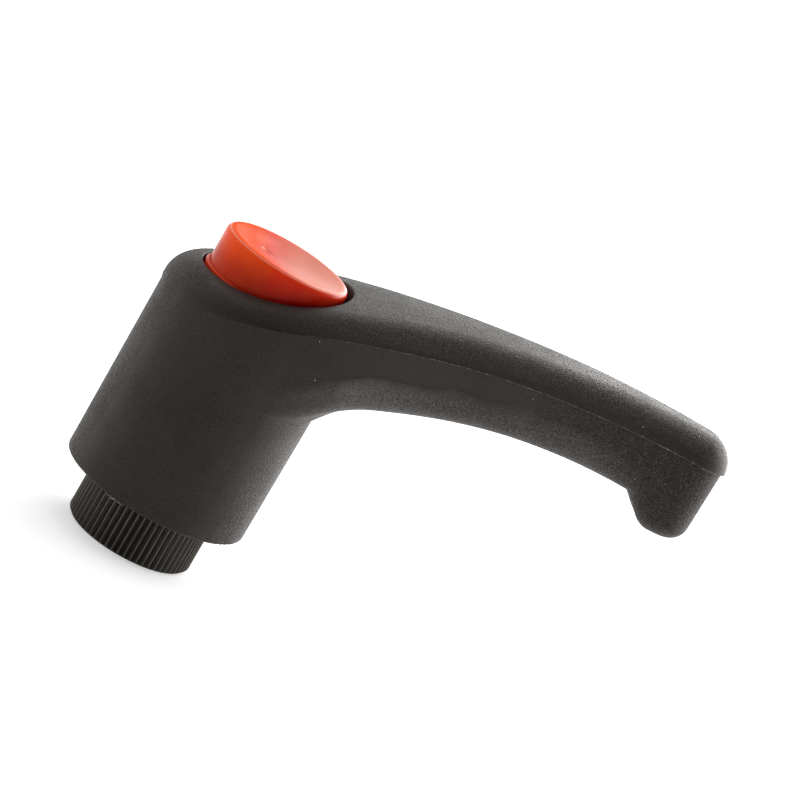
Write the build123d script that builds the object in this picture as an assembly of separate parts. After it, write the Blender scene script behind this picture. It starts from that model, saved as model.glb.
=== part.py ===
from build123d import *
import math
import os

# Adjustable clamping lever. Millimetres. The origin is the centre of the boss's bottom face,
# +Z runs up the hub axis and +X runs along the arm.

# Clamping boss
boss_radius = 11.0  # over the tooth crests
boss_height = 30.8
boss_stand_out = 9.3  # bare length of the boss below the hub
tooth_count = 60
tooth_depth = 0.55
boss_edge = 0.6  # chamfer of both ends
thread_bore_radius = 4.25  # core of the M10 thread for the machine's stud
thread_bore_depth = 18.0
thread_mouth_chamfer = 0.5

# Lever moulding, outside
hub_wall = 4.95  # wall of the hub round the boss
hub_roof = 19.7  # the boss's upper end to the top face, on the hub axis
arm_length = 80.0  # hub axis to the end of the nose
wall_draft = 0.3  # degrees, walls under the seam narrow downwards
top_slope = 15.3  # degrees, climb of the straight top over the hub
top_bend_x = 10.0  # where the straight top turns into the long arc of the arm
crest_setback = 14.0  # top of the long arc, back from the end of the nose
crown_radius = 71.0  # the top is slightly round across the lever
flank_slope = 12.9  # degrees, sides leaving the hub, seen from above
grip_slope = 3.6  # degrees, sides of the slim grip
nose_half_width = 5.75  # grip's side lines at the end of the nose
waist_radius = 130.0  # hollow of the sides between flank and grip
nose_corner_radius = 5.4  # seen from above
shoulder_radius = 5.0  # rounded edge all round the top face
seam_drop = 4.5  # seam below the top face's middle line
seam_step = 0.05  # the upper mould half stands out over the lower one
mould_shift = 0.35  # the arm's lower half sits back from the nose's upper half
arm_inset = 0.05  # the arm's sides enter the hub's round wall at a clear angle
grip_depth = 14.0  # crest of the top to the level place of the underside
level_setback = 20.0  # level place of the underside, back from the end of the nose
underside_radius = 100.0  # long hollow curve of the underside
root_reach = 8.1  # from the hub's wall to where the underside turns down
root_radius = 13.0
root_slope = 54.0  # degrees, underside where it meets the hub
nose_length = 13.0  # end of the nose back to its inner corner
nose_slope = 43.0  # degrees, inner face of the nose
nose_depth = 4.5  # nose below its inner corner
nose_hollow_radius = 1.5
nose_round_radius = 4.0
grip_edge_radius = 3.0  # rounded lower edges of the arm
hub_edge_radius = 0.5
bore_rim_radius = 0.3

# Seats inside the hub
boss_clearance = 0.35  # plain bore round the tooth crests
tooth_clearance = 0.15  # radial, between the meshing teeth
ring_height = 5.0  # length of the serrated ring
flange_thickness = 2.5  # seat of the spring, just above the ring
button_bore_step = 0.55  # bore round the button is wider than the one round the boss

# Retaining screw
screw_thread_radius = 3.0
screw_thread_length = 9.5
screw_shoulder_radius = 3.6
screw_head_radius = 8.2
screw_head_thickness = 2.2
screw_head_edge = 0.4  # chamfer
screw_socket_width = 5.0  # across the flats of the hexagon
screw_socket_depth = 1.5
screw_end_play = 0.5  # tapped hole deeper than the screw
thread_fit = 0.05  # between the screw's thread and its tapped hole
shoulder_clearance = 0.4  # flange hole round the screw's shoulder

# Return spring
spring_length = 11.0  # fitted length, lever down
spring_mean_radius = 6.5
wire_radius = 0.55
spring_turns = 4.25

# Push button
button_gap = 0.85  # between the button's plain wall and its bore
collar_clearance = 0.35  # button's collar in the lever's bore
collar_drop = 2.8  # collar below the top face, on the hub axis
collar_edge = 0.3
button_stand_out = 3.4  # rim above the top face, on the hub axis
button_top_slope = -1.2  # degrees, the rim falls towards the arm
button_rim_radius = 1.0
dish_inset = 1.3  # width of the rim outside the dish
dish_depth = 1.3
button_roof = 2.3
button_cavity_radius = 7.0  # hollow above the shoulder that pushes on the screw's head
skirt_reach = 4.3  # skirt below the screw's head
head_clearance = 0.3  # pocket round the screw's head
head_end_play = 0.15
clip_lip = 0.8  # how far the clips reach under the screw's head
clip_height = 1.2
slot_width = 1.6  # gaps that let the clips bend
slot_count = 4
key_angle = 35.0  # degrees each side of the arm
key_width = 2.0
key_height = 0.9  # how far the keys stand in from the bore
key_root = 0.5  # how far they reach into the bore's wall
key_length = 8.2
key_clearance = 0.2
key_travel_room = 0.3  # groove longer than the lift needs
lift_travel = 5.5  # lever's lift, clears the teeth

# Places that follow from these sizes
flange_bottom = boss_height
flange_top = flange_bottom + flange_thickness
ring_bottom = flange_bottom - ring_height
head_bottom = flange_top + spring_length
head_top = head_bottom + screw_head_thickness
skirt_bottom = head_bottom - skirt_reach
key_top = flange_top + key_length
boss_bore_radius = boss_radius + boss_clearance
hub_radius = boss_bore_radius + hub_wall
button_bore_radius = boss_bore_radius + button_bore_step
button_radius = button_bore_radius - button_gap
slope = math.radians(top_slope)
top_height = boss_height + hub_roof
collar_top = top_height - collar_drop
button_top = top_height + button_stand_out
crest_x = arm_length - crest_setback
underside_x = arm_length - level_setback
root_x = hub_radius + root_reach
nose_x = arm_length - nose_length
top_bend_z = top_height + top_bend_x * math.tan(slope)
crest_radius = (crest_x - top_bend_x) / math.sin(slope)
crest_centre_z = top_bend_z - crest_radius * math.cos(slope)
underside_height = crest_centre_z + crest_radius - grip_depth
margin = 4.0  # how far cutting shapes reach past the part
rear_x = -hub_radius - margin
front_x = arm_length + margin
half_span = hub_radius + margin
blank_top = crest_centre_z + crest_radius + margin


def on_circle(centre, radius, angle):
    """Point of a circle, angle in degrees from the first axis."""
    turn = math.radians(angle)
    return centre[0] + radius * math.cos(turn), centre[1] + radius * math.sin(turn)


def top_z(x):
    """Height of the top's middle line: a straight climb over the hub, then the long arc."""
    if x <= top_bend_x:
        return top_height + x * math.tan(slope)
    return crest_centre_z + math.sqrt(crest_radius**2 - (x - crest_x) ** 2)


def top_line(start_x, drop):
    """The top's middle line, lowered by drop, from start_x to past the nose."""
    mid_x = (top_bend_x + front_x) / 2
    bend = (top_bend_x, top_bend_z - drop)
    climb = Line((start_x, top_z(start_x) - drop), bend)
    arc = ThreePointArc(bend, (mid_x, top_z(mid_x) - drop), (front_x, top_z(front_x) - drop))
    return climb, arc


def under_line(start_x, drop):
    """Everything below the lowered top line, right across the lever and forward of start_x."""
    climb, arc = top_line(start_x, drop)
    front = Line(arc @ 1, (front_x, 0))
    base = Line((front_x, 0), (start_x, 0))
    rear = Line((start_x, 0), climb @ 0)
    face = Plane.XZ.offset(-half_span) * make_face(Wire([climb, arc, front, base, rear]))
    return extrude(face, amount=2 * half_span)


def under_crown():
    """Everything below the crowned top: a cross section swept along the top's middle line."""
    bend = Vector(top_bend_x, 0, top_bend_z)
    start = Vector(rear_x, 0, top_z(rear_x))
    end = Vector(front_x, 0, top_z(front_x))
    mid_x = (top_bend_x + front_x) / 2
    climb = Edge.make_line(start, bend)
    arc = Edge.make_three_point_arc(bend, Vector(mid_x, 0, top_z(mid_x)), end)
    sag = crown_radius - math.sqrt(crown_radius**2 - half_span**2)
    depth = sag + seam_drop + margin
    crown = ThreePointArc((-half_span, -sag), (0, 0), (half_span, -sag))
    left = Line((-half_span, -depth), (-half_span, -sag))
    right = Line((half_span, -sag), (half_span, -depth))
    base = Line((half_span, -depth), (-half_span, -depth))
    across = Plane(origin=start, x_dir=(0, 1, 0), z_dir=bend - start)
    section = across * make_face(Wire([left, crown, right, base]))
    return sweep(section, path=Wire([climb, arc]))


def plan_outline(inset):
    """Plan of the lever: hub circle, tangent flanks, hollow waist, slim grip, rounded nose."""
    flank = 90 - flank_slope  # direction of each side's outward normal
    grip = 90 - grip_slope
    flank_x, flank_y = on_circle((0, 0), 1, flank)
    grip_nx, grip_ny = on_circle((0, 0), 1, grip)
    grip_reach = arm_length * grip_nx + nose_half_width * grip_ny
    spread = flank_x * grip_ny - flank_y * grip_nx
    flank_reach = hub_radius + waist_radius
    side_reach = grip_reach + waist_radius
    waist = (
        (flank_reach * grip_ny - flank_y * side_reach) / spread,
        (flank_x * side_reach - flank_reach * grip_nx) / spread,
    )
    corner_x = arm_length - seam_step - nose_corner_radius
    corner = (corner_x, (grip_reach - nose_corner_radius - corner_x * grip_nx) / grip_ny)
    waist_r = waist_radius + inset
    corner_r = nose_corner_radius - inset
    hub_r = hub_radius - inset
    side = [
        on_circle((0, 0), hub_r, flank),
        on_circle(waist, -waist_r, flank),
        on_circle(waist, -waist_r, (flank + grip) / 2),
        on_circle(waist, -waist_r, grip),
        on_circle(corner, corner_r, grip),
        on_circle(corner, corner_r, grip / 2),
        on_circle(corner, corner_r, 0),
    ]
    other = [(x, -y) for x, y in side]
    edges = [ThreePointArc(side[0], (-hub_r, 0), other[0]), Line(side[6], other[6])]
    for points in (side, other):
        edges.append(Line(points[0], points[1]))
        edges.append(ThreePointArc(points[1], points[2], points[3]))
        edges.append(Line(points[3], points[4]))
        edges.append(ThreePointArc(points[4], points[5], points[6]))
    return make_face(Wire(edges))


def upper_shell():
    """Everything above the seam, with the rounded shoulder."""
    shell = extrude(plan_outline(-seam_step), amount=blank_top) & under_crown()
    rim = []
    for e in shell.edges():
        middle = e @ 0.5
        depth = top_z(middle.X) - middle.Z
        across = e.geom_type == GeomType.CIRCLE and abs(middle.Y) < 0.01
        if depth < seam_drop / 2 and e.geom_type != GeomType.LINE and not across:
            rim.append(e)
    return fillet(rim, shoulder_radius) - under_line(rear_x, seam_drop)


def underside():
    """Outline of the arm's underside beside the hub axis, closed far above it."""
    centre = (underside_x, underside_height - underside_radius)
    root_turn = 90 + math.degrees(math.asin((underside_x - root_x) / underside_radius))
    nose_turn = 90 - math.degrees(math.asin((nose_x - underside_x) / underside_radius))
    root = on_circle(centre, underside_radius, root_turn)
    middle = on_circle(centre, underside_radius, (root_turn + nose_turn) / 2)
    nose = on_circle(centre, underside_radius, nose_turn)
    root_centre = on_circle(root, -root_radius, root_turn)
    foot_turn = 90 + root_slope
    foot = on_circle(root_centre, root_radius, foot_turn)
    root_middle = on_circle(root_centre, root_radius, (root_turn + foot_turn) / 2)
    apex = (0, foot[1] - foot[0] * math.tan(math.radians(root_slope)))
    nose_bottom = nose[1] - nose_depth
    nose_foot = (nose[0] + nose_depth / math.tan(math.radians(nose_slope)), nose_bottom)
    edges = [
        Line(apex, foot),
        ThreePointArc(foot, root_middle, root),
        ThreePointArc(root, middle, nose),
        Line(nose, nose_foot),
        Line(nose_foot, (front_x, nose_bottom)),
        Line((front_x, nose_bottom), (front_x, blank_top)),
        Line((front_x, blank_top), (0, blank_top)),
        Line((0, blank_top), apex),
    ]
    face = make_face(Wire(edges))
    inner_corner = face.vertices().sort_by_distance((*nose, 0))[0]
    face = fillet(inner_corner, nose_hollow_radius)
    lower_corner = face.vertices().sort_by_distance((*nose_foot, 0))[0]
    return fillet(lower_corner, nose_round_radius)


def arm():
    """The arm below the seam: drafted sides over an underside turned about the hub axis."""
    start_x = hub_radius / 8  # well inside the hub
    outline = Plane.XY.offset(blank_top) * plan_outline(arm_inset)
    walls = extrude(outline, amount=-blank_top, taper=wall_draft)
    body = walls & revolve(Plane.XZ * underside(), axis=Axis.Z)
    body = body & under_line(start_x, seam_drop - mould_shift)
    lower = []
    for e in body.edges():
        middle = e @ 0.5
        upright = abs((e % 0.5).Z) > 0.97
        inside = abs(middle.Y) < 0.3 and middle.X < nose_x + (arm_length - nose_x) / 2
        below = middle.Z < min(underside_height + 1, top_z(middle.X) - seam_drop)
        if below and middle.X > start_x + 0.5 and not upright and not inside:
            lower.append(e)
    body = Pos(-mould_shift, 0, 0) * fillet(lower, grip_edge_radius)
    return body & under_line(start_x, seam_drop)


def tooth_outline(crest):
    """Zigzag of V-shaped teeth round a circle, with one crest on +X."""
    points = []
    for step in range(2 * tooth_count):
        radius = crest if step % 2 == 0 else crest - tooth_depth
        angle = math.pi * step / tooth_count
        points.append((radius * math.cos(angle), radius * math.sin(angle)))
    return make_face(Polyline(points, close=True))


def column(radius, bottom, top):
    """Round column about the hub axis, between two heights."""
    return Pos(0, 0, bottom) * extrude(Circle(radius), amount=top - bottom)


def hub():
    """The hub under the seam: a slightly drafted round post with a rounded lower edge."""
    blank = Plane.XY.offset(blank_top) * make_face(Edge.make_circle(hub_radius))
    post = extrude(blank, amount=boss_stand_out - blank_top, taper=wall_draft)
    post = post & under_line(rear_x, seam_drop)
    lower = post.edges().sort_by(Axis.Z)[0]
    return fillet(lower, hub_edge_radius)


def keys(radius_in, radius_out, width, bottom, top):
    """The two guide keys, one each side of the arm, as bars standing on the hub axis's radii."""
    bars = []
    for side in (-1, 1):
        length = radius_out - radius_in
        bar = Pos((radius_in + radius_out) / 2, 0, (bottom + top) / 2) * Box(length, width, top - bottom)
        bars.append(Rot(0, 0, side * key_angle) * bar)
    return bars


def make_lever():
    """One moulding: shell, hub and arm, with the bores, the serrated ring and the flange inside."""
    body = upper_shell() + hub() + arm()
    plain_bore = column(boss_bore_radius, 0, ring_bottom)
    ring = extrude(tooth_outline(boss_radius + tooth_clearance), amount=ring_height)
    ring_cut = Pos(0, 0, ring_bottom) * ring
    shoulder_hole = column(screw_shoulder_radius + shoulder_clearance, 0, flange_top)
    button_bore = column(button_bore_radius, flange_top, blank_top)
    body = body - button_bore
    rim = [
        e
        for e in body.edges()
        if (e @ 0.5).Z > head_top
        and abs(math.hypot((e @ 0.5).X, (e @ 0.5).Y) - button_bore_radius) < 0.01
        and e.length > button_bore_radius
    ]
    body = fillet(rim, bore_rim_radius)
    body = body - plain_bore - ring_cut - shoulder_hole
    crest = button_bore_radius - key_height
    for bar in keys(crest, button_bore_radius + key_root, key_width, flange_top, key_top):
        body = body + bar
    return body


def make_boss():
    """Splined steel insert: full-length teeth, chamfered ends, the stud's bore and the screw's."""
    blank = chamfer(column(boss_radius, 0, boss_height).edges().filter_by(GeomType.CIRCLE), boss_edge)
    body = extrude(tooth_outline(boss_radius), amount=boss_height) & blank
    body = body - column(thread_bore_radius, 0, thread_bore_depth)
    mouth = Cone(thread_bore_radius + thread_mouth_chamfer, thread_bore_radius, thread_mouth_chamfer)
    body = body - Pos(0, 0, thread_mouth_chamfer / 2) * mouth
    tapped_depth = screw_thread_length + screw_end_play
    body = body - column(screw_thread_radius + thread_fit, boss_height - tapped_depth, boss_height)
    return body


def make_screw():
    """Shouldered screw with a wide flat head and a hexagon socket."""
    thread = column(screw_thread_radius, boss_height - screw_thread_length, boss_height)
    shoulder = column(screw_shoulder_radius, boss_height, head_bottom)
    head = column(screw_head_radius, head_bottom, head_top)
    head = chamfer(head.edges().sort_by(Axis.Z)[-1], screw_head_edge)
    socket_radius = screw_socket_width / math.sqrt(3)
    socket_bottom = head_top - screw_socket_depth
    socket = extrude(RegularPolygon(socket_radius, 6), amount=screw_socket_depth)
    return thread + shoulder + head - Pos(0, 0, socket_bottom) * socket


def make_spring():
    """Compression spring with ground flat ends, at its fitted length."""
    pitch = spring_length / spring_turns
    path = Helix(pitch=pitch, height=spring_length, radius=spring_mean_radius)
    section = Plane(origin=path @ 0, z_dir=path % 0) * Circle(wire_radius)
    coil = sweep(section, path=path)
    outside = spring_mean_radius + 2 * wire_radius
    coil = coil & column(outside, 0, spring_length)
    return Pos(0, 0, flange_top) * coil


def make_button():
    """Hollow cap: dished sloping top, plain wall, guide collar, clips and key grooves."""
    collar_radius = button_bore_radius - collar_clearance
    tilt = math.radians(button_top_slope)
    top_normal = Vector(-math.sin(tilt), 0, math.cos(tilt))
    top_plane = Plane(origin=(0, 0, button_top), z_dir=top_normal)
    wall = column(button_radius, skirt_bottom, button_top + margin)
    above = top_plane * extrude(Circle(2 * button_radius), amount=2 * margin)
    wall = wall - above
    rim = wall.edges().sort_by(Axis.Z)[-1]
    wall = fillet(rim, button_rim_radius)
    dish_radius = button_radius - dish_inset
    sphere_radius = (dish_radius**2 + dish_depth**2) / (2 * dish_depth)
    sphere = top_plane * (Pos(0, 0, sphere_radius - dish_depth) * Sphere(sphere_radius))
    wall = wall - sphere
    collar = column(collar_radius, skirt_bottom, collar_top)
    collar = chamfer(collar.edges().sort_by(Axis.Z)[-1], collar_edge)
    body = wall + collar
    pocket_radius = screw_head_radius + head_clearance
    pocket_bottom = head_bottom - head_end_play
    shoulder_z = head_top + head_end_play
    roof_z = button_top - dish_depth - button_roof
    body = body - column(pocket_radius, pocket_bottom, shoulder_z)
    body = body - column(button_cavity_radius, shoulder_z, roof_z)
    lip_radius = screw_head_radius - clip_lip
    lip_bottom = pocket_bottom - clip_height
    body = body - column(lip_radius, lip_bottom, pocket_bottom)
    funnel_bottom = (lip_bottom + skirt_bottom) / 2
    body = body - column(pocket_radius, skirt_bottom, funnel_bottom)
    funnel = Cone(pocket_radius, lip_radius, lip_bottom - funnel_bottom)
    body = body - Pos(0, 0, (lip_bottom + funnel_bottom) / 2) * funnel
    slot_length = 2 * collar_radius + margin
    middle = (shoulder_z + skirt_bottom) / 2
    for turn in range(slot_count // 2):
        slot = Pos(0, 0, middle) * Box(slot_length, slot_width, shoulder_z - skirt_bottom)
        body = body - Rot(0, 0, turn * 360 / slot_count) * slot
    groove_radius = button_bore_radius - key_height - key_clearance
    groove_width = key_width + 2 * key_clearance
    groove_top = key_top + lift_travel + key_travel_room
    for bar in keys(groove_radius, button_bore_radius, groove_width, skirt_bottom, groove_top):
        body = body - bar
    return body


os.makedirs("parts", exist_ok=True)
export_step(make_lever(), "parts/lever.step")
export_step(make_boss(), "parts/clamping_boss.step")
export_step(make_screw(), "parts/retaining_screw.step")
export_step(make_spring(), "parts/return_spring.step")
export_step(make_button(), "parts/push_button.step")
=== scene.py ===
import bpy
import math
import numpy as np
from mathutils import Matrix, Vector
from mathutils.bvhtree import BVHTree


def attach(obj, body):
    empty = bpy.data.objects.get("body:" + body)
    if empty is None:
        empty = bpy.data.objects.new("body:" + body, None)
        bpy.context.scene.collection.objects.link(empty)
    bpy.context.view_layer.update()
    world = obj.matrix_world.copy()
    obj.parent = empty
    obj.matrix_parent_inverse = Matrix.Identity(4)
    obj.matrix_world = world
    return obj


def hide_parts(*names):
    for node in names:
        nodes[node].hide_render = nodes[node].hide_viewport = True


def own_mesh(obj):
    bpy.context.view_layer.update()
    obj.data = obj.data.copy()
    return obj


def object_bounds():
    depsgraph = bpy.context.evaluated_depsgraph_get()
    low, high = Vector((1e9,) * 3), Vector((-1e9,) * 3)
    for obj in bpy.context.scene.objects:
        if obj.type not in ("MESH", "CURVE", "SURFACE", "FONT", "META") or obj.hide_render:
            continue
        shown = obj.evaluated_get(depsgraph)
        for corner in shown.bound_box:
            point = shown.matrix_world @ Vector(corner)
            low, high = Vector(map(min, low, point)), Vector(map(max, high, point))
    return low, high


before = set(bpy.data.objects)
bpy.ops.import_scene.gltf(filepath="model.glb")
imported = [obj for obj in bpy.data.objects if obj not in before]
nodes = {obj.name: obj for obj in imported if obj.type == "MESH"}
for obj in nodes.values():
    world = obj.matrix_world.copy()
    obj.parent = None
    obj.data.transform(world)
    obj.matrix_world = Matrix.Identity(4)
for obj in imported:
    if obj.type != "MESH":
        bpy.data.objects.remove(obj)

plainBounds = [list(corner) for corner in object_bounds()]
print("frame loaded:", ", ".join(sorted(nodes)))


# Shader helpers

# An empty node material
def newMaterial(name):
    material = bpy.data.materials.new(name)
    material.use_nodes = True
    material.node_tree.nodes.clear()
    return material, material.node_tree


def addNode(tree, kind, **settings):
    node = tree.nodes.new(kind)
    for key, value in settings.items():
        setattr(node, key, value)
    return node


# Joins a socket to a socket, or writes a plain value
def wire(tree, target, source):
    if isinstance(source, bpy.types.NodeSocket):
        tree.links.new(source, target)
    else:
        target.default_value = source


def combine(tree, operation, a, b, clamp=False):
    node = addNode(tree, "ShaderNodeMath", operation=operation, use_clamp=clamp)
    wire(tree, node.inputs[0], a)
    wire(tree, node.inputs[1], b)
    return node.outputs[0]


def plus(tree, a, b, clamp=False):
    return combine(tree, "ADD", a, b, clamp)


def minus(tree, a, b, clamp=False):
    return combine(tree, "SUBTRACT", a, b, clamp)


def times(tree, a, b):
    return combine(tree, "MULTIPLY", a, b)


def divide(tree, a, b):
    return combine(tree, "DIVIDE", a, b)


def largest(tree, first, *others):
    for other in others:
        first = combine(tree, "MAXIMUM", first, other)
    return first


# Straight ramp of a value, held at its ends
def ramp(tree, value, low, high, outLow=0.0, outHigh=1.0):
    node = addNode(tree, "ShaderNodeMapRange", clamp=True)
    wire(tree, node.inputs["Value"], value)
    wire(tree, node.inputs["From Min"], low)
    wire(tree, node.inputs["From Max"], high)
    wire(tree, node.inputs["To Min"], outLow)
    wire(tree, node.inputs["To Max"], outHigh)
    return node.outputs["Result"]


# X, Y and Z of a vector
def split(tree, vector):
    node = addNode(tree, "ShaderNodeSeparateXYZ")
    wire(tree, node.inputs[0], vector)
    return node.outputs


# Vector sums; the kinds that measure give a number, the rest a vector
def vectorMath(tree, operation, a, b=(0, 0, 0)):
    node = addNode(tree, "ShaderNodeVectorMath", operation=operation)
    wire(tree, node.inputs[0], a)
    wire(tree, node.inputs[1], b)
    measures = operation in ("DOT_PRODUCT", "LENGTH", "DISTANCE")
    return node.outputs["Value" if measures else "Vector"]


# A place with its height taken away, so that its length is the distance from the hub axis
def levelPlace(tree, place):
    return vectorMath(tree, "MULTIPLY", place, (1, 1, 0))


def mixColour(tree, factor, a, b):
    node = addNode(tree, "ShaderNodeMix", data_type="RGBA")
    wire(tree, node.inputs["Factor"], factor)
    wire(tree, node.inputs["A"], a)
    wire(tree, node.inputs["B"], b)
    return next(s for s in node.outputs if s.type == "RGBA" and s.enabled)


def noise(tree, vector, scale, detail=2.0, roughness=0.5):
    node = addNode(tree, "ShaderNodeTexNoise")
    wire(tree, node.inputs["Vector"], vector)
    wire(tree, node.inputs["Scale"], scale)
    wire(tree, node.inputs["Detail"], detail)
    wire(tree, node.inputs["Roughness"], roughness)
    return node.outputs["Fac"]


def bump(tree, height, strength, distance):
    node = addNode(tree, "ShaderNodeBump")
    wire(tree, node.inputs["Strength"], strength)
    wire(tree, node.inputs["Distance"], distance)
    wire(tree, node.inputs["Height"], height)
    return node.outputs["Normal"]


def objectPlace(tree):
    return addNode(tree, "ShaderNodeTexCoord").outputs["Object"]


def faceNormal(tree):
    return addNode(tree, "ShaderNodeNewGeometry").outputs["Normal"]


# Node group. Inputs are names and defaults, a vector where the default is None;
# outputs are names of numbers. Gives the group, its inputs to read and its outputs to fill
def newGroup(name, ins, outs):
    group = bpy.data.node_groups.new(name, "ShaderNodeTree")
    for title, value in ins.items():
        kind = "NodeSocketVector" if value is None else "NodeSocketFloat"
        socket = group.interface.new_socket(title, in_out="INPUT", socket_type=kind)
        if value is not None:
            socket.default_value = value
    for title in outs:
        group.interface.new_socket(title, in_out="OUTPUT", socket_type="NodeSocketFloat")
    given, results = addNode(group, "NodeGroupInput"), addNode(group, "NodeGroupOutput")
    return group, given.outputs, results.inputs


def useGroup(tree, group, values):
    node = addNode(tree, "ShaderNodeGroup", node_tree=group)
    for key, value in values.items():
        wire(tree, node.inputs[key], value)
    return node.outputs


# A Principled shader on the material's output; each value is a socket or a plain value
def surface(tree, values):
    shader = addNode(tree, "ShaderNodeBsdfPrincipled")
    for key, value in values.items():
        wire(tree, shader.inputs[key], value)
    output = addNode(tree, "ShaderNodeOutputMaterial")
    wire(tree, output.inputs["Surface"], shader.outputs[0])


# In the dictionaries below a ramp is (from, to) or (from, to, value at from, value at to).
# Places and lengths are in m

# Fine grain of a spark-eroded mould: two sizes of noise give a height, pale specks and pits

grainPlan = {
    "fineRoughness": 0.6,
    "broadScale": 0.35,  # share of the fine scale
    "broadShare": 0.4,
    "specks": (0.53, 0.64),
    "pits": (0.34, 0.48, 1.0, 0.0),
}
grainGroup, grainIn, grainOut = newGroup(
    "moulded grain", {"Vector": None, "Size": 0.0004}, ("Height", "Specks", "Pits")
)
grainScale = divide(grainGroup, 1.0, grainIn["Size"])
broadScale = times(grainGroup, grainScale, grainPlan["broadScale"])
fineGrain = noise(grainGroup, grainIn["Vector"], grainScale, roughness=grainPlan["fineRoughness"])
broadGrain = noise(grainGroup, grainIn["Vector"], broadScale)
broadGrain = times(grainGroup, broadGrain, grainPlan["broadShare"])
wire(grainGroup, grainOut["Height"], plus(grainGroup, fineGrain, broadGrain))
wire(grainGroup, grainOut["Specks"], ramp(grainGroup, fineGrain, *grainPlan["specks"]))
wire(grainGroup, grainOut["Pits"], ramp(grainGroup, fineGrain, *grainPlan["pits"]))

# Wear: soft patches of rubbed colour and a few fine scratches

wearPlan = {
    "patchDetail": 4.0,
    "patchRoughness": 0.62,
    "patches": (0.42, 0.68),
    "scratchTurn": (0.4, 0.7, 0.3),  # rad
    "scratchStretch": (1.0, 0.07, 0.07),
    "scratchDetail": 3.0,
    "scratchRoughness": 0.7,
    "scratches": (0.70, 0.76),
}
wearGroup, wearIn, wearOut = newGroup(
    "handling wear",
    {"Vector": None, "Patch Size": 0.012, "Scratch Size": 0.004},
    ("Patches", "Scratches"),
)
patchScale = divide(wearGroup, 1.0, wearIn["Patch Size"])
patchNoise = noise(
    wearGroup, wearIn["Vector"], patchScale, wearPlan["patchDetail"], wearPlan["patchRoughness"]
)
wire(wearGroup, wearOut["Patches"], ramp(wearGroup, patchNoise, *wearPlan["patches"]))
scratchScale = divide(wearGroup, 1.0, wearIn["Scratch Size"])
stretched = addNode(wearGroup, "ShaderNodeMapping")
wire(wearGroup, stretched.inputs["Rotation"], wearPlan["scratchTurn"])
wire(wearGroup, stretched.inputs["Scale"], wearPlan["scratchStretch"])
wire(wearGroup, stretched.inputs["Vector"], wearIn["Vector"])
scratchNoise = noise(
    wearGroup,
    stretched.outputs["Vector"],
    scratchScale,
    wearPlan["scratchDetail"],
    wearPlan["scratchRoughness"],
)
wire(wearGroup, wearOut["Scratches"], ramp(wearGroup, scratchNoise, *wearPlan["scratches"]))

# Dust: sparse pale dots, one in some of the cells of a coarse pattern

emptyCells = 0.55  # share of the cells without a dot
dustGroup, dustIn, dustOut = newGroup(
    "dust dots", {"Vector": None, "Spacing": 0.004, "Dot": 0.03}, ("Dots",)
)
cells = addNode(dustGroup, "ShaderNodeTexVoronoi")
wire(dustGroup, cells.inputs["Vector"], dustIn["Vector"])
wire(dustGroup, cells.inputs["Scale"], divide(dustGroup, 1.0, dustIn["Spacing"]))
near = combine(dustGroup, "LESS_THAN", cells.outputs["Distance"], dustIn["Dot"])
draw = split(dustGroup, cells.outputs["Color"])[0]
chosen = combine(dustGroup, "GREATER_THAN", draw, emptyCells)
wire(dustGroup, dustOut["Dots"], times(dustGroup, near, chosen))

# Lit band: painted light, a paler tone, on the lower strip of the arm's sides and down the hub's
# right, where that strip is also rougher; fainter painted light on the arm, the nose end and the
# hub's rear edge.
# Its height over the underside is counted at the same distance from the hub axis

# Height of the arm's underside at each distance from the hub axis, both in mm
bellyLine = [
    (0.0, 16.0), (15.0, 30.0), (17.5, 35.2), (19.0, 37.0), (21.5, 38.9), (24.4, 40.2),
    (28.8, 41.7), (35.3, 43.7), (45.2, 45.6), (58.4, 46.7), (70.0, 46.4), (85.0, 46.4),
]
bellyReach = 85.0  # mm, the line's length
bellyMetres = bellyReach / 1000
bandPlan = {
    "wobbleScale": 120.0,
    "wobbleReach": 0.003,
    # where the band lies
    "startX": (0.0125, 0.0170),
    "hubX": (0.0010, 0.0155, 0.0, 0.11),
    "rootX": (0.0060, 0.0155),
    "rootZ": (0.016, 0.030, 0.0, 0.32),
    "endX": (0.056, 0.069, 1.0, 0.12),
    # how pale the painted light makes the band, and how pale the painted light makes the rest
    "dimX": (0.018, 0.034, 1.0, 0.47),
    "armX": (0.002, 0.014),
    "armFadeX": (0.050, 0.064, 0.033, 0.008),
    "noseEndX": (0.0735, 0.0790, 0.0, 0.32),
    "rearEndX": (-0.0162, -0.0125, 0.10, 0.0),
    # what else is rough: faces that look up, the nose, the hub's rear and its front
    "topTilt": (0.30, 0.75),
    "topFrontX": (0.004, 0.015),
    "topRearX": (-0.0150, -0.0105, 1.0, 0.0),
    "noseX": (0.040, 0.062),
    "noseTilt": (0.02, 0.12, 1.0, 0.15),
    "rearX": (-0.0162, -0.0146, 1.0, 0.0),
    "frontX": (0.0085, 0.0125),
    "frontZ": (0.024, 0.031, 1.0, 0.0),
}
bandGroup, bandIn, bandOut = newGroup(
    "painted light band", {"Vector": None, "Height": 0.0055, "Softness": 0.001}, ("Painted Light", "Rough Places")
)
spot = split(bandGroup, bandIn["Vector"])
spotX, spotZ = spot["X"], spot["Z"]
tilt = split(bandGroup, faceNormal(bandGroup))["Z"]


# A ramp of the band's plan over one measure
def zone(measure, key):
    return ramp(bandGroup, measure, *bandPlan[key])


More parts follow.
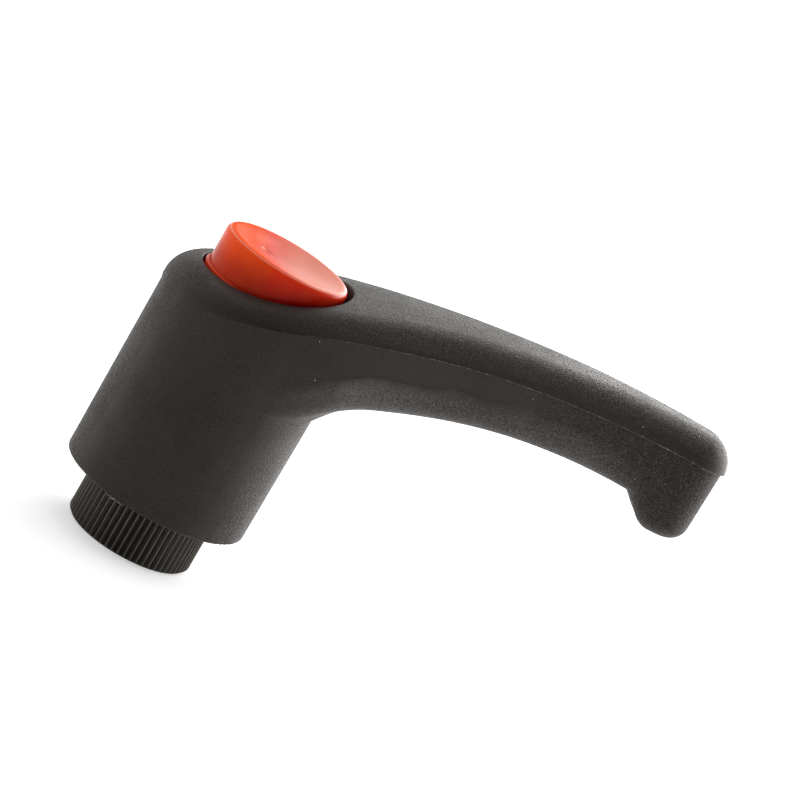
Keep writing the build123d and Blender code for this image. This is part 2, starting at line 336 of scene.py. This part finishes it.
belly = addNode(bandGroup, "ShaderNodeFloatCurve")
curve = belly.mapping.curves[0]
curve.points[0].location = (bellyLine[0][0] / bellyReach, bellyLine[0][1] / bellyReach)
curve.points[1].location = (1.0, bellyLine[-1][1] / bellyReach)
for far, high in bellyLine[1:-1]:
    curve.points.new(far / bellyReach, high / bellyReach)
belly.mapping.update()
fromAxis = vectorMath(bandGroup, "LENGTH", levelPlace(bandGroup, bandIn["Vector"]))
wire(bandGroup, belly.inputs["Value"], divide(bandGroup, fromAxis, bellyMetres))
bellyZ = times(bandGroup, belly.outputs[0], bellyMetres)

wobble = minus(bandGroup, noise(bandGroup, bandIn["Vector"], bandPlan["wobbleScale"]), 0.5)
wobble = times(bandGroup, wobble, bandPlan["wobbleReach"])
overBelly = plus(bandGroup, minus(bandGroup, spotZ, bellyZ), wobble)
bandTop = plus(bandGroup, bandIn["Height"], bandIn["Softness"])
inBand = ramp(bandGroup, overBelly, bandIn["Height"], bandTop, 1.0, 0.0)
underRoot = times(bandGroup, zone(spotX, "rootX"), zone(spotZ, "rootZ"))
downHub = plus(bandGroup, zone(spotX, "hubX"), underRoot)
inBand = times(bandGroup, inBand, largest(bandGroup, zone(spotX, "startX"), downHub))
inBand = times(bandGroup, inBand, zone(spotX, "endX"))

# painted light: paler on the band, the arm, the nose end and the hub's rear edge
paintedLight = times(bandGroup, inBand, zone(spotX, "dimX"))
onArm = times(bandGroup, zone(spotX, "armX"), zone(spotX, "armFadeX"))
paintedLight = largest(bandGroup, paintedLight, onArm, zone(spotX, "noseEndX"), zone(spotX, "rearEndX"))
wire(bandGroup, bandOut["Painted Light"], paintedLight)

awayFromLip = largest(bandGroup, zone(spotX, "topFrontX"), zone(spotX, "topRearX"))
onTop = times(bandGroup, zone(tilt, "topTilt"), awayFromLip)
onNose = times(bandGroup, zone(spotX, "noseX"), zone(tilt, "noseTilt"))
onFront = times(bandGroup, zone(spotX, "frontX"), zone(spotZ, "frontZ"))
places = largest(bandGroup, onTop, onNose, zone(spotX, "rearX"), onFront, inBand)
wire(bandGroup, bandOut["Rough Places"], places)

# Lever moulding: warm charcoal glass-filled nylon

nylonLook = {
    "base": (0.0125, 0.0114, 0.0102, 1),
    "speck": (0.330, 0.325, 0.318, 1),
    "pit": (0.006, 0.0055, 0.005, 1),
    # pale tone of the painted light on the band, the arm, the nose end and the hub's rear edge
    "paintedLightTone": (0.185, 0.181, 0.177, 1),
    "speckShare": (0.05, 0.46, 0.30, 0.50),  # ramp over the band's paleness
    "grainSize": 0.00018,
    "grainStrength": 1.0,
    "grainDepth": 0.00060,
    "smoothGrain": 0.12,  # share of the grain left on the smooth places
    "roughLow": 0.42,
    "roughHigh": 0.55,
    "pitRough": 0.3,
    "patchSize": 0.014,
    "scratchSize": 0.003,
    "scratchShare": 0.02,
    "ior": 1.5,
    "sheenTint": (1.0, 0.84, 0.72, 1),
    "sheenHub": 0.365,  # rubbed less than the middle of the arm
    "sheenArm": 0.445,
    "sheenRise": (0.012, 0.035),
    "sheenFall": (0.058, 0.070, 1.0, 0.0),
    "dust": (0.36, 0.35, 0.34, 1),
    "dustSpacing": 0.0030,
    "dustDot": 0.040,  # share of the spacing
    "bandHeight": 0.0037,  # over the underside
    "bandSoftness": 0.0026,
}
nylon, tree = newMaterial("charcoal nylon")
place = objectPlace(tree)
grain = useGroup(tree, grainGroup, {"Vector": place, "Size": nylonLook["grainSize"]})
wear = useGroup(tree, wearGroup, {
    "Vector": place,
    "Patch Size": nylonLook["patchSize"],
    "Scratch Size": nylonLook["scratchSize"],
})
band = useGroup(tree, bandGroup, {
    "Vector": place,
    "Height": nylonLook["bandHeight"],
    "Softness": nylonLook["bandSoftness"],
})
dust = useGroup(tree, dustGroup, {
    "Vector": place,
    "Spacing": nylonLook["dustSpacing"],
    "Dot": nylonLook["dustDot"],
})
coarse = ramp(tree, band["Rough Places"], 0.0, 1.0, nylonLook["smoothGrain"], 1.0)
speckShare = ramp(tree, band["Painted Light"], *nylonLook["speckShare"])
specks = times(tree, grain["Specks"], times(tree, coarse, speckShare))
scratches = times(tree, wear["Scratches"], nylonLook["scratchShare"])
# painted light: the band's pale tone mixed over the base
tone = mixColour(tree, band["Painted Light"], nylonLook["base"], nylonLook["paintedLightTone"])
tone = mixColour(tree, times(tree, grain["Pits"], coarse), tone, nylonLook["pit"])
tone = mixColour(tree, plus(tree, specks, scratches, clamp=True), tone, nylonLook["speck"])
tone = mixColour(tree, dust["Dots"], tone, nylonLook["dust"])
rough = ramp(tree, wear["Patches"], 0.0, 1.0, nylonLook["roughLow"], nylonLook["roughHigh"])
rough = plus(tree, rough, times(tree, grain["Pits"], nylonLook["pitRough"]))
along = split(tree, place)["X"]
polished = ramp(tree, along, *nylonLook["sheenRise"])
polished = times(tree, polished, ramp(tree, along, *nylonLook["sheenFall"]))
height = times(tree, grain["Height"], coarse)
surface(tree, {
    "Base Color": tone,
    "Roughness": rough,
    "IOR": nylonLook["ior"],
    "Specular IOR Level": ramp(
        tree, polished, 0.0, 1.0, nylonLook["sheenHub"], nylonLook["sheenArm"]
    ),
    "Specular Tint": nylonLook["sheenTint"],
    "Normal": bump(tree, height, nylonLook["grainStrength"], nylonLook["grainDepth"]),
})

# Push button: glossy orange-red plastic, slightly translucent

buttonLook = {
    # painted light and shade on the wall: its painted lit colour
    "bright": (1.0, 0.092, 0.010, 1),
    "litWallFar": (1.0, 0.056, 0.012, 1),  # painted lit colour, redder toward the arm
    "farSide": (-0.0044, -0.0026),
    # painted shade of the wall, near the bore and toward the arm
    "shadedWall": (0.36, 0.006, 0.005, 1),
    "rise": (0.0498, 0.0542),  # z, from where the wall goes into the bore
    "riseShare": 0.72,
    "side": (-0.010, 0.005, 1.0, 0.0),  # x
    "sideShare": 0.45,
    "patchSize": 0.006,
    "patchShare": 0.15,
    "scratchSize": 0.002,
    "scratchRough": 0.15,
    "polish": (0.80, 1.0, 0.20, 0.36),  # roughness of the wall and of the top
    "ior": 1.15,
    "glow": 0.3,  # share of the light that goes under the skin
    "glowScale": 0.002,
    "glowRadius": (1.0, 0.25, 0.1),
    "topTilt": -0.021,  # rad, slope of the top
    "dishFacing": (0.80, 0.92),
    "paintedHighlight": (0.96, 0.40, 0.29, 1),  # painted highlight on the dish's far half and along the rim
    "paleX": (-0.0040, 0.0030),
    "paleShare": 0.68,
    "rimReach": 0.01040,  # from the axis, where the rim's painted highlight line begins
    "rimWidth": 0.0004,
    "rimEdge": 0.0001,
    "rimFacing": (0.40, 0.60),
    "rimShare": 0.5,
    "gate": (-0.0034, 0.0012, 0.0),  # mark of the moulding gate in the dish
    "gateRing": (0.0004, 0.0011),
    "stain": (0.45, 0.040, 0.018, 1),  # darker swirl round the gate mark
    "stainReach": (0.0002, 0.0022, 0.55, 0.0),
    "stainScale": 900.0,
    "stainPatches": (0.45, 0.60),
    "stainAll": 0.10,  # share over the whole dish
    "sheen": 0.5,
    "dullX": (-0.0060, 0.0020, 0.45, 0.0),
    "rippleScale": 260.0,
    "rippleShare": 0.25,
    "bumpStrength": 0.6,
    "bumpDepth": 0.0002,
}
redPlastic, tree = newMaterial("orange red plastic")
place = objectPlace(tree)
spot = split(tree, place)
along, upward = spot["X"], spot["Z"]
wear = useGroup(tree, wearGroup, {
    "Vector": place,
    "Patch Size": buttonLook["patchSize"],
    "Scratch Size": buttonLook["scratchSize"],
})

# Wall: painted shade, darker toward the bore and toward the arm, and a little darker in random
# wear patches; its painted lit colour turns redder toward the arm
rise = ramp(tree, upward, *buttonLook["rise"])
side = ramp(tree, along, *buttonLook["side"])
lit = times(tree, rise, buttonLook["riseShare"])
lit = plus(tree, lit, times(tree, side, buttonLook["sideShare"]))
lit = minus(tree, lit, times(tree, wear["Patches"], buttonLook["patchShare"]), clamp=True)
farSide = ramp(tree, along, *buttonLook["farSide"])
bright = mixColour(tree, farSide, buttonLook["bright"], buttonLook["litWallFar"])
paint = mixColour(tree, lit, buttonLook["shadedWall"], bright)

# Dish and rim: a painted highlight on the dish's far half and a painted highlight line along the
# rim
slope = buttonLook["topTilt"]
topNormal = (-math.sin(slope), 0, math.cos(slope))
facing = vectorMath(tree, "DOT_PRODUCT", faceNormal(tree), topNormal)
onDish = ramp(tree, facing, *buttonLook["dishFacing"])
paintedHighlight = times(tree, onDish, ramp(tree, along, *buttonLook["paleX"]))
paintedHighlight = times(tree, paintedHighlight, buttonLook["paleShare"])
level = levelPlace(tree, place)
reach = vectorMath(tree, "LENGTH", level)
rimFrom, rimTo = buttonLook["rimReach"], buttonLook["rimReach"] + buttonLook["rimWidth"]
onRim = ramp(tree, reach, rimFrom, rimFrom + buttonLook["rimEdge"])
onRim = times(tree, onRim, ramp(tree, reach, rimTo - buttonLook["rimEdge"], rimTo, 1.0, 0.0))
onRim = times(tree, onRim, ramp(tree, facing, *buttonLook["rimFacing"]))
paintedHighlight = largest(tree, paintedHighlight, times(tree, onRim, buttonLook["rimShare"]))
paint = mixColour(tree, paintedHighlight, paint, buttonLook["paintedHighlight"])

# Gate mark: a small ring with a stain round it
fromGate = vectorMath(tree, "DISTANCE", level, buttonLook["gate"])
stain = ramp(tree, fromGate, *buttonLook["stainReach"])
stainNoise = noise(tree, place, buttonLook["stainScale"])
stain = times(tree, stain, ramp(tree, stainNoise, *buttonLook["stainPatches"]))
stain = times(tree, onDish, plus(tree, stain, buttonLook["stainAll"]))
ripple = noise(tree, place, buttonLook["rippleScale"], 1.0)
ripple = times(tree, ripple, buttonLook["rippleShare"])
height = plus(tree, ramp(tree, fromGate, *buttonLook["gateRing"]), ripple)

dull = times(tree, onDish, ramp(tree, along, *buttonLook["dullX"]))
rough = ramp(tree, rise, *buttonLook["polish"])
rough = plus(tree, rough, times(tree, wear["Scratches"], buttonLook["scratchRough"]))
surface(tree, {
    "Base Color": mixColour(tree, stain, paint, buttonLook["stain"]),
    "Roughness": rough,
    "IOR": buttonLook["ior"],
    "Specular IOR Level": minus(tree, buttonLook["sheen"], dull),
    "Subsurface Weight": buttonLook["glow"],
    "Subsurface Scale": buttonLook["glowScale"],
    "Subsurface Radius": buttonLook["glowRadius"],
    "Normal": bump(tree, height, buttonLook["bumpStrength"], buttonLook["bumpDepth"]),
})

# Blackened steel of the boss, plain steel of the screw and the spring

steelLook = {
    "patchSize": 0.004,
    "scratchSize": 0.0016,
    "grainSize": 0.0002,
    "metallic": 0.9,
    "crestShare": (0.0, 1.0, 0.35, 0.75),  # ramp over the patches
    "scratchShare": 0.6,
    "roughSpread": 0.15,
    "grainStrength": 0.25,
    "grainDepth": 0.00004,
    "noCrest": (1.0, 1.1),
}
blackLook = {
    "base": (0.052, 0.047, 0.040, 1),
    # colour of the scratches and of the painted highlight on the tooth crests, partly edge wear
    "bright": (0.34, 0.32, 0.29, 1),
    "rough": 0.48,
    "crest": (0.01086, 0.01099),  # from the axis, the outer edges of the teeth, painted with a highlight that is partly edge wear
}
screwLook = {"base": (0.42, 0.43, 0.44, 1), "bright": (0.62, 0.62, 0.62, 1), "rough": 0.28}
springLook = {"base": (0.30, 0.30, 0.31, 1), "bright": (0.55, 0.55, 0.55, 1), "rough": 0.30}


# Steel with fine marks and rubbed places, and past a distance from the axis a painted highlight
# on the tooth crests, partly edge wear
def steel(name, look):
    material, tree = newMaterial(name)
    place = objectPlace(tree)
    wear = useGroup(tree, wearGroup, {
        "Vector": place,
        "Patch Size": steelLook["patchSize"],
        "Scratch Size": steelLook["scratchSize"],
    })
    grain = useGroup(tree, grainGroup, {"Vector": place, "Size": steelLook["grainSize"]})
    reach = vectorMath(tree, "LENGTH", levelPlace(tree, place))
    crest = ramp(tree, reach, *look.get("crest", steelLook["noCrest"]))
    crest = times(tree, crest, ramp(tree, wear["Patches"], *steelLook["crestShare"]))
    wearAndCrestHighlight = times(tree, wear["Scratches"], steelLook["scratchShare"])
    # the tooth crests get a painted highlight, partly edge wear
    wearAndCrestHighlight = largest(tree, wearAndCrestHighlight, crest)
    roughest = look["rough"] + steelLook["roughSpread"]
    relief = bump(tree, grain["Height"], steelLook["grainStrength"], steelLook["grainDepth"])
    surface(tree, {
        "Base Color": mixColour(tree, wearAndCrestHighlight, look["base"], look["bright"]),
        "Metallic": steelLook["metallic"],
        "Roughness": ramp(tree, wear["Patches"], 0.0, 1.0, look["rough"], roughest),
        "Normal": relief,
    })
    return material


springSteel = steel("spring steel", springLook)
finishes = {
    "lever": nylon,
    "push_button": redPlastic,
    "clamping_boss": steel("blackened steel", blackLook),
    "retaining_screw": steel("zinc plated steel", screwLook),
    "return_spring": springSteel,
}
for name, material in finishes.items():
    nodes[name].data.materials.clear()
    nodes[name].data.materials.append(material)
print("materials made")


# A mesh object made from arrays of points and of faces
def meshObject(name, points, faces):
    mesh = bpy.data.meshes.new(name)
    mesh.from_pydata(points.tolist(), [], faces)
    made = bpy.data.objects.new(name, mesh)
    bpy.context.scene.collection.objects.link(made)
    return made


# Thin pieces: a tube whose thickness changes along a path, kept inside two limit corners.
# Point (i, j) = path i + thickness i times (side i times cos of angle j + up i times sin of
# angle j), with angle j = 2 pi j / sides, side = path direction cross z, up = side cross
# path direction
def unevenTube(name, path, thickness, sides, body, material, limits=plainBounds):
    path = np.asarray(path, dtype=float)
    ahead = np.gradient(path, axis=0)
    ahead /= np.linalg.norm(ahead, axis=1, keepdims=True)
    side = np.cross(ahead, np.array([0.0, 0.0, 1.0]))
    side /= np.linalg.norm(side, axis=1, keepdims=True)
    up = np.cross(side, ahead)
    turn = np.linspace(0.0, 2.0 * np.pi, sides, endpoint=False)[None, :, None]
    ring = side[:, None, :] * np.cos(turn) + up[:, None, :] * np.sin(turn)
    points = path[:, None, :] + thickness[:, None, None] * ring
    points = np.clip(points, *limits)
    index = np.arange(points.shape[0] * sides).reshape(points.shape[0], sides)
    after = np.roll(index, -1, axis=1)
    quads = np.stack([index[:-1], index[1:], after[1:], after[:-1]], axis=-1).reshape(-1, 4)
    faces = quads.tolist() + [index[0].tolist()] + [index[-1][::-1].tolist()]
    piece = meshObject(name, points.reshape(-1, 3), faces)
    piece.data.polygons.foreach_set("use_smooth", np.arange(len(faces)) < len(quads))
    piece.data.materials.append(material)
    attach(piece, body)
    return piece


# Even draws smoothed by a running mean, as many as asked for
def smoothDraws(dice, count, window):
    return np.convolve(dice.random(count + window - 1), np.ones(window) / window, mode="valid")


leastThickness = 0.000004
dice = np.random.default_rng(12)

# Flash left where the two mould halves meet: it runs along both sides of the arm and round
# the nose
seamPlan = {
    "startX": 0.004,  # where the line begins beside the hub
    "noseX": 0.0700,  # past this it is looked for round the nose
    "topBend": (0.010, 0.0532357),  # x and z, where the top's straight climb ends
    "climb": 0.267035,  # rad
    "crestX": 0.066,
    "crestRadius": 0.2122233,
    "crestCentre": -0.1514658,
    "drop": 0.0045,  # under the top's middle line
    "thickness": 0.00006,
    "steps": 150,
    "noseSteps": 60,
    "rayReach": 0.03,  # how far outside the search rays start
    "rayTries": 3,
    "rayLift": 0.00004,
    "sides": 6,
    "smoothing": 5,
    "roughness": (0.35, 1.3),  # least and random share of the thickness
    "taper": 12,  # steps
    "growthX": [0.030, 0.055],
    "growth": [0.55, 1.25],
    "bits": ((0.0560, 1.0), (0.0672, 1.3), (0.0752, 2.2)),  # x on the near side, growth
    "bitReach": 0.0005,
}
leverTree = BVHTree.FromObject(nodes["lever"], bpy.context.evaluated_depsgraph_get())


# Height of the seam at each distance along the arm: a straight climb, then the long arc
def seamHeight(x):
    x = np.asarray(x, dtype=float)
    bendX, bendZ = seamPlan["topBend"]
    climbing = bendZ + (x - bendX) * math.tan(seamPlan["climb"])
    arc = np.sqrt(seamPlan["crestRadius"] ** 2 - (x - seamPlan["crestX"]) ** 2)
    arc = seamPlan["crestCentre"] + arc
    return np.where(x < bendX, climbing, arc) - seamPlan["drop"]


# Where a level ray from outside meets the lever at the seam
def seamPoint(start, toward):
    origin = Vector((start[0], start[1], float(seamHeight(start[0]))))
    for again in range(seamPlan["rayTries"]):
        hit = leverTree.ray_cast(origin, Vector((toward[0], toward[1], 0.0)))[0]
        origin.z = float(seamHeight(hit.x)) + seamPlan["rayLift"]
    return np.array(hit)


outside = seamPlan["rayReach"]
alongSide = np.linspace(seamPlan["startX"], seamPlan["noseX"], seamPlan["steps"])
nearSide = [seamPoint((x, -outside), (0.0, 1.0)) for x in alongSide]
roundNose = []
for turn in np.linspace(-math.pi / 2, math.pi / 2, seamPlan["noseSteps"])[1:-1]:
    away = (math.cos(turn), math.sin(turn))
    start = (seamPlan["noseX"] + outside * away[0], outside * away[1])
    roundNose.append(seamPoint(start, (-away[0], -away[1])))
farSide = [point * np.array([1.0, -1.0, 1.0]) for point in nearSide[::-1]]
seamPath = np.array(nearSide + roundNose + farSide)

# Thickness: a ragged run that tapers at both ends, grows toward the nose and carries a few bits
order = np.arange(len(seamPath))
leastRough, anyRough = seamPlan["roughness"]
seamRough = leastRough + anyRough * smoothDraws(dice, len(seamPath), seamPlan["smoothing"])
seamEnds = np.minimum(1.0, np.minimum(order, order[::-1]) / seamPlan["taper"])
seamGrowth = np.interp(seamPath[:, 0], seamPlan["growthX"], seamPlan["growth"])
seamThickness = seamPlan["thickness"] * seamGrowth * seamRough * seamEnds + leastThickness
onNearSide = seamPath[:, 1] < 0
for at, growth in seamPlan["bits"]:
    closeness = np.exp(-(((seamPath[:, 0] - at) / seamPlan["bitReach"]) ** 2))
    seamThickness *= 1 + growth * onNearSide * closeness

# The flash takes the moulding's colour, a little paler
flashLook = {
    "base": (0.060, 0.058, 0.055, 1),
    "speck": (0.28, 0.27, 0.26, 1),
    "grainSize": 0.0005,
    "rough": 0.5,
}
flashPaint, tree = newMaterial("mould flash")
grain = useGroup(
    tree, grainGroup, {"Vector": objectPlace(tree), "Size": flashLook["grainSize"]}
)
surface(tree, {
    "Base Color": mixColour(tree, grain["Specks"], flashLook["base"], flashLook["speck"]),
    "Roughness": flashLook["rough"],
})
unevenTube("seam_flash", seamPath, seamThickness, seamPlan["sides"], "handle", flashPaint)

# Ragged nib of flash hanging from the hub's lower rim.
# Path: x = radius cos t, y = radius sin t, z is one height
nibPlan = {
    "from": -125.0,  # deg
    "to": -111.0,
    "radius": 0.01582,
    "height": 0.00928,
    "thickness": 0.00034,
    "steps": 48,
    "sides": 8,
    "smoothing": 3,
    "least": 0.25,  # share of the thickness
    "fullness": 0.7,  # less makes the ends blunter
}
nibTurn = np.radians(np.linspace(nibPlan["from"], nibPlan["to"], nibPlan["steps"]))
nibPath = np.stack(
    [
        nibPlan["radius"] * np.cos(nibTurn),
        nibPlan["radius"] * np.sin(nibTurn),
        np.full(nibTurn.size, nibPlan["height"]),
    ],
    axis=1,
)
nibRough = nibPlan["least"] + smoothDraws(dice, nibPlan["steps"], nibPlan["smoothing"])
nibEnds = np.sin(np.linspace(0.0, math.pi, nibPlan["steps"])) ** nibPlan["fullness"]
nibThickness = nibPlan["thickness"] * nibEnds * nibRough + leastThickness
unevenTube("rim_flash", nibPath, nibThickness, nibPlan["sides"], "handle", flashPaint)
print("flash added")

# Return spring, with ends ground flat.
# Path: x = radius cos t, y = radius sin t, z = low + (high - low) t over (2 pi turns)
springPlan = {
    "radius": 0.0065,
    "wire": 0.00055,
    "low": 0.0333,
    "high": 0.0443,
    "turns": 4.25,
    "steps": 260,
    "sides": 16,
    "keep": 0.5,  # share of its length left at full lift
}
springTurn = np.linspace(0.0, 2.0 * np.pi * springPlan["turns"], springPlan["steps"])
springPath = np.stack(
    [
        springPlan["radius"] * np.cos(springTurn),
        springPlan["radius"] * np.sin(springTurn),
        np.linspace(springPlan["low"], springPlan["high"], springPlan["steps"]),
    ],
    axis=1,
)
springWire = np.full(springPlan["steps"], springPlan["wire"])
groundFlat = ((-1.0, -1.0, springPlan["low"]), (1.0, 1.0, springPlan["high"]))
coil = unevenTube(
    "coil_spring",
    springPath,
    springWire,
    springPlan["sides"],
    "boss_unit",
    springSteel,
    groundFlat,
)
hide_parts("return_spring")
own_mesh(coil)
print("spring wound")


# Floor: a wide white plate under the boss, lifted to white where it is seen, shadow kept

floorPlan = {
    "half": 3.0,
    "height": 0.0,
    "points": 9,  # along each side
    "colour": (0.93, 0.93, 0.93, 1),
    "rough": 0.9,
    "sheen": 0.1,
    "lift": 0.42,
    "glossShare": 0.6,
}


# A level square: x and y run from minus half to plus half, z is one height
def flatPlate(name, half, height, count):
    line = np.linspace(-half, half, count)
    u, v = np.meshgrid(line, line, indexing="ij")
    points = np.stack([u.ravel(), v.ravel(), np.full(u.size, height)], axis=1)
    index = np.arange(u.size).reshape(u.shape)
    corners = [index[:-1, :-1], index[1:, :-1], index[1:, 1:], index[:-1, 1:]]
    return meshObject(name, points, np.stack(corners, axis=-1).reshape(-1, 4).tolist())


floor = flatPlate("studio floor", floorPlan["half"], floorPlan["height"], floorPlan["points"])
floorPaint, tree = newMaterial("white floor")
lightPath = addNode(tree, "ShaderNodeLightPath").outputs
seen = times(tree, lightPath["Is Glossy Ray"], floorPlan["glossShare"])
seen = plus(tree, lightPath["Is Camera Ray"], seen)
seen = plus(tree, seen, lightPath["Is Transmission Ray"], clamp=True)
surface(tree, {
    "Base Color": floorPlan["colour"],
    "Roughness": floorPlan["rough"],
    "Specular IOR Level": floorPlan["sheen"],
    "Emission Color": (1, 1, 1, 1),
    "Emission Strength": times(tree, seen, floorPlan["lift"]),
})
floor.data.materials.append(floorPaint)
print("floor laid")


# World and lamps: a light tent, bright behind the lever and dim in front of it

tent = {"front": 0.05, "back": 1.25, "from": -0.95, "to": 0.50, "backdrop": 1.0}
world = bpy.data.worlds.new("light tent")
bpy.context.scene.world = world
world.use_nodes = True
tree = world.node_tree
tree.nodes.clear()
lightPath = addNode(tree, "ShaderNodeLightPath").outputs
seen = plus(tree, lightPath["Is Camera Ray"], lightPath["Is Transmission Ray"], clamp=True)
depth = split(tree, addNode(tree, "ShaderNodeTexCoord").outputs["Generated"])["Y"]
glow = ramp(tree, depth, tent["from"], tent["to"], tent["front"], tent["back"])
sky = addNode(tree, "ShaderNodeBackground")
wire(tree, sky.inputs["Color"], (1, 1, 1, 1))
wire(tree, sky.inputs["Strength"], ramp(tree, seen, 0.0, 1.0, glow, tent["backdrop"]))
worldOut = addNode(tree, "ShaderNodeOutputWorld")
wire(tree, worldOut.inputs["Surface"], sky.outputs[0])

lampCentre = Vector((0.030, 0.0, 0.035))
lamps = {
    # name: (azimuth, elevation, distance, width, height, watts), angles in deg from the centre
    "right softbox": (30.0, 14.0, 0.8, 0.5, 0.5, 4.5),
    "back softbox": (61.0, 16.0, 0.9, 0.45, 0.75, 5.4),
}
for name, (azimuth, elevation, distance, width, height, watts) in lamps.items():
    light = bpy.data.lights.new(name, "AREA")
    light.shape = "RECTANGLE"
    light.size = width
    light.size_y = height
    light.energy = watts
    turn, rise = math.radians(azimuth), math.radians(elevation)
    away = Vector((
        math.cos(turn) * math.cos(rise),
        math.sin(turn) * math.cos(rise),
        math.sin(rise),
    ))
    lamp = bpy.data.objects.new(name, light)
    lamp.location = lampCentre + away * distance
    lamp.rotation_euler = away.to_track_quat("Z", "Y").to_euler()
    bpy.context.scene.collection.objects.link(lamp)
print("lights set")


# Camera

cameraPlan = {
    "aim": (0.02730, 0.0, 0.04141),
    "azimuth": -13.0,  # deg, as the next two
    "elevation": 14.18,
    "roll": 30.62,
    "distance": 0.6292,
    "lens": 175.8,  # mm
    "sensor": 36.0,  # mm
    "nearClip": 0.01,
}
turn, rise, roll = (math.radians(cameraPlan[key]) for key in ("azimuth", "elevation", "roll"))
forward = Vector((
    -math.sin(turn) * math.cos(rise),
    math.cos(turn) * math.cos(rise),
    -math.sin(rise),
))
right = Vector((math.cos(turn), math.sin(turn), 0.0))
up = right.cross(forward)
rolledRight = right * math.cos(roll) + up * math.sin(roll)
rolledUp = up * math.cos(roll) - right * math.sin(roll)
cameraData = bpy.data.cameras.new("studio camera")
cameraData.sensor_width = cameraPlan["sensor"]
cameraData.lens = cameraPlan["lens"]
cameraData.clip_start = cameraPlan["nearClip"]
camera = bpy.data.objects.new("studio camera", cameraData)
place = Vector(cameraPlan["aim"]) - forward * cameraPlan["distance"]
axes = Matrix((rolledRight, rolledUp, -forward)).transposed().to_4x4()
camera.matrix_world = Matrix.Translation(place) @ axes
bpy.context.scene.collection.objects.link(camera)
bpy.context.scene.camera = camera
bpy.context.scene.view_settings.view_transform = "Standard"
print("camera placed")
